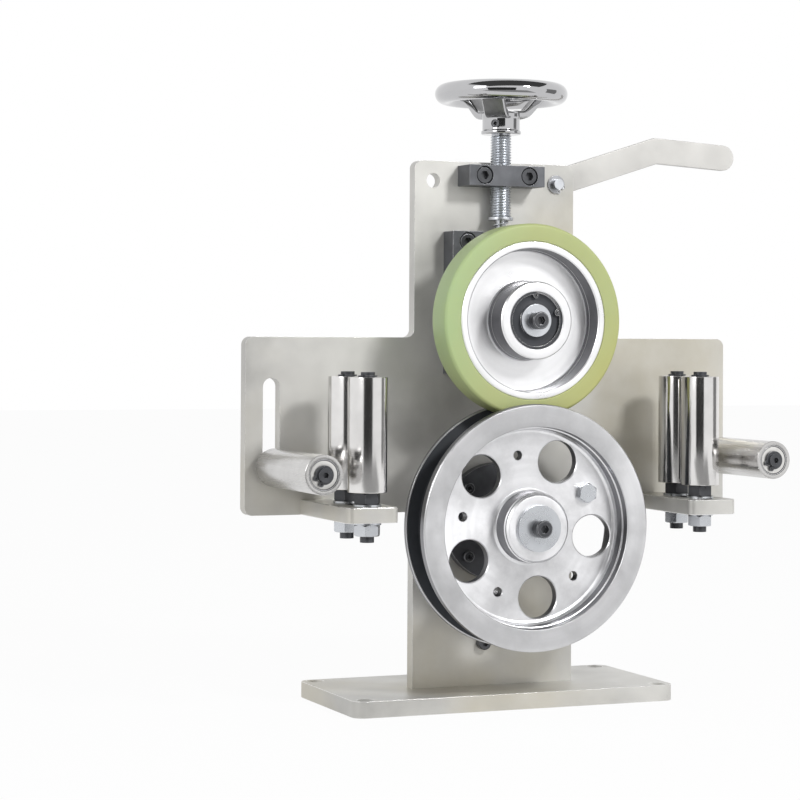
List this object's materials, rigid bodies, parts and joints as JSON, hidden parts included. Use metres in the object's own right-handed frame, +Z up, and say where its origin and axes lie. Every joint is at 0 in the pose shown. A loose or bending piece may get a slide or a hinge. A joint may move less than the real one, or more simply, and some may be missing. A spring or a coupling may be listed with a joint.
{
  "type": "cable length counter",
  "caption": "Bench cable length counter: sprung pressure wheel over a grooved metering wheel, guide rollers, lift lever and handwheel screw.",
  "frame": {"origin": "centre of the base plate's underside, which is the centre of its four bolt holes", "axes": "+X along the upright plate to the lever's handle, +Y from the wheels towards the plate's back, +Z up"},
  "size_m": [0.4119, 0.1844, 0.4644],
  "materials": {
    "satin_plate": "satin nickel plate",
    "pale_steel": "satin plate, nearly white",
    "turned_aluminium": "bright turned",
    "black_running_layer": "dark matt",
    "black_steel": "black oxide, satin",
    "zinc_plate": "blue zinc plate",
    "bearing_steel": "ground",
    "bright_chrome": "polished",
    "roller_steel": "polished stainless tube",
    "tyre_rubber": "smooth cast polyurethane, yellow-green"
  },
  "bodies": {
    "frame": {"base_plate": "satin_plate", "back_plate": "satin_plate", "base_screws": "black_steel", "guide_bar_left": "satin_plate", "guide_bar_right": "satin_plate", "bar_screws": "black_steel", "screw_block": "black_steel", "block_screws": "black_steel", "slide_rail_left": "black_steel", "slide_rail_right": "black_steel", "rail_screws": "black_steel", "bearing_housing": "black_steel", "housing_screws": "black_steel", "housing_bearings": "bearing_steel", "proximity_sensor": "bearing_steel", "sensor_nuts": "zinc_plate", "sensor_bracket": "satin_plate", "bracket_screw": "black_steel", "lever_pivot_pin": "zinc_plate", "lever_pin_ring": "black_steel"},
    "slider": {"slide_block": "black_steel", "lift_plate": "satin_plate", "lift_pin": "zinc_plate", "lift_screws": "black_steel", "pressure_axle": "bearing_steel", "pressure_end_washer": "zinc_plate", "pressure_end_screw": "black_steel"},
    "lever": {"lever": "pale_steel"},
    "seat": {"spring_seat": "zinc_plate", "pressure_spring": "zinc_plate"},
    "spindle": {"spindle": "zinc_plate", "handwheel": "bright_chrome", "grub_screw": "black_steel"},
    "pressure_wheel": {"pressure_hub": "turned_aluminium", "pressure_tyre": "tyre_rubber", "pressure_bearings": "bearing_steel", "hub_ring": "black_steel"},
    "metering_wheel": {"metering_wheel": "turned_aluminium", "groove_lining": "black_running_layer", "metering_shaft": "bearing_steel", "shaft_key": "zinc_plate", "shaft_ring": "black_steel", "metering_end_washer": "zinc_plate", "metering_end_screw": "black_steel", "trigger_bolt": "zinc_plate", "trigger_nut": "zinc_plate"},
    "left_front_axle": {"axle_left_front": "black_steel"},
    "left_front_roller": {"roller_left_front": "roller_steel"},
    "left_rear_axle": {"axle_left_rear": "black_steel"},
    "left_rear_roller": {"roller_left_rear": "roller_steel"},
    "right_front_axle": {"axle_right_front": "black_steel"},
    "right_front_roller": {"roller_right_front": "roller_steel"},
    "right_rear_axle": {"axle_right_rear": "black_steel"},
    "right_rear_roller": {"roller_right_rear": "roller_steel"},
    "left_level_axle": {"axle_left_level": "black_steel"},
    "left_level_roller": {"roller_left_level": "roller_steel"},
    "right_level_axle": {"axle_right_level": "black_steel"},
    "right_level_roller": {"roller_right_level": "roller_steel"}
  },
  "joints": [
    {"name": "pressure_slide", "type": "slide", "parent": "frame", "child": "slider", "axis": [0, 0, 1], "range_m": [0, 0.012], "stiffness_N_per_m": 1500, "springref_m": -0.004, "deforming": ["pressure_spring"]},
    {"name": "lever_lift", "type": "hinge", "parent": "frame", "child": "lever", "pos_m": [0.051, -0.0001, 0.3911], "axis": [0, 1, 0], "range_deg": [0, 12.9]},
    {"name": "screw_feed", "type": "slide", "parent": "frame", "child": "seat", "axis": [0, 0, 1], "range_m": [-0.002, 0.016]},
    {"name": "screw_turn", "type": "hinge", "parent": "seat", "child": "spindle", "pos_m": [0, -0.022, 0.4], "axis": [0, 0, 1], "range_deg": [-360, 2880]},
    {"name": "metering_spin", "type": "hinge", "parent": "frame", "child": "metering_wheel", "pos_m": [0, -0.012, 0.1355], "axis": [0, 1, 0], "continuous": true},
    {"name": "pressure_spin", "type": "hinge", "parent": "slider", "child": "pressure_wheel", "pos_m": [0, -0.064, 0.28637], "axis": [0, 1, 0], "continuous": true},
    {"name": "left_front_setting", "type": "slide", "parent": "frame", "child": "left_front_axle", "axis": [0, 1, 0], "range_m": [-0.002, 0.003]},
    {"name": "left_front_spin", "type": "hinge", "parent": "left_front_axle", "child": "left_front_roller", "pos_m": [-0.1357, -0.094, 0.205], "axis": [0, 0, 1], "continuous": true},
    {"name": "left_rear_setting", "type": "slide", "parent": "frame", "child": "left_rear_axle", "axis": [0, 1, 0], "range_m": [-0.003, 0.007]},
    {"name": "left_rear_spin", "type": "hinge", "parent": "left_rear_axle", "child": "left_rear_roller", "pos_m": [-0.1357, -0.055, 0.205], "axis": [0, 0, 1], "continuous": true},
    {"name": "right_front_setting", "type": "slide", "parent": "frame", "child": "right_front_axle", "axis": [0, 1, 0], "range_m": [-0.01, 0.0025]},
    {"name": "right_front_spin", "type": "hinge", "parent": "right_front_axle", "child": "right_front_roller", "pos_m": [0.1357, -0.086, 0.205], "axis": [0, 0, 1], "continuous": true},
    {"name": "right_rear_setting", "type": "slide", "parent": "frame", "child": "right_rear_axle", "axis": [0, 1, 0], "range_m": [-0.0025, 0.003]},
    {"name": "right_rear_spin", "type": "hinge", "parent": "right_rear_axle", "child": "right_rear_roller", "pos_m": [0.1357, -0.0507, 0.205], "axis": [0, 0, 1], "continuous": true},
    {"name": "left_level_height", "type": "slide", "parent": "frame", "child": "left_level_axle", "axis": [0, 0, 1], "range_m": [-0.001, 0.058]},
    {"name": "left_level_spin", "type": "hinge", "parent": "left_level_axle", "child": "left_level_roller", "pos_m": [-0.1784, -0.07, 0.1787], "axis": [0, 1, 0], "continuous": true},
    {"name": "right_level_height", "type": "slide", "parent": "frame", "child": "right_level_axle", "axis": [0, 0, 1], "range_m": [-0.006, 0.053]},
    {"name": "right_level_spin", "type": "hinge", "parent": "right_level_axle", "child": "right_level_roller", "pos_m": [0.1784, -0.07, 0.1839], "axis": [0, 1, 0], "continuous": true}
  ],
  "couplings": [
    {"joint": "lever_lift", "follows": "pressure_slide", "rad_per_m": 18.69},
    {"joint": "screw_feed", "follows": "screw_turn", "m_per_rad": 0.00031831},
    {"joint": "pressure_spin", "follows": "metering_spin", "ratio": -1.1208}
  ]
}
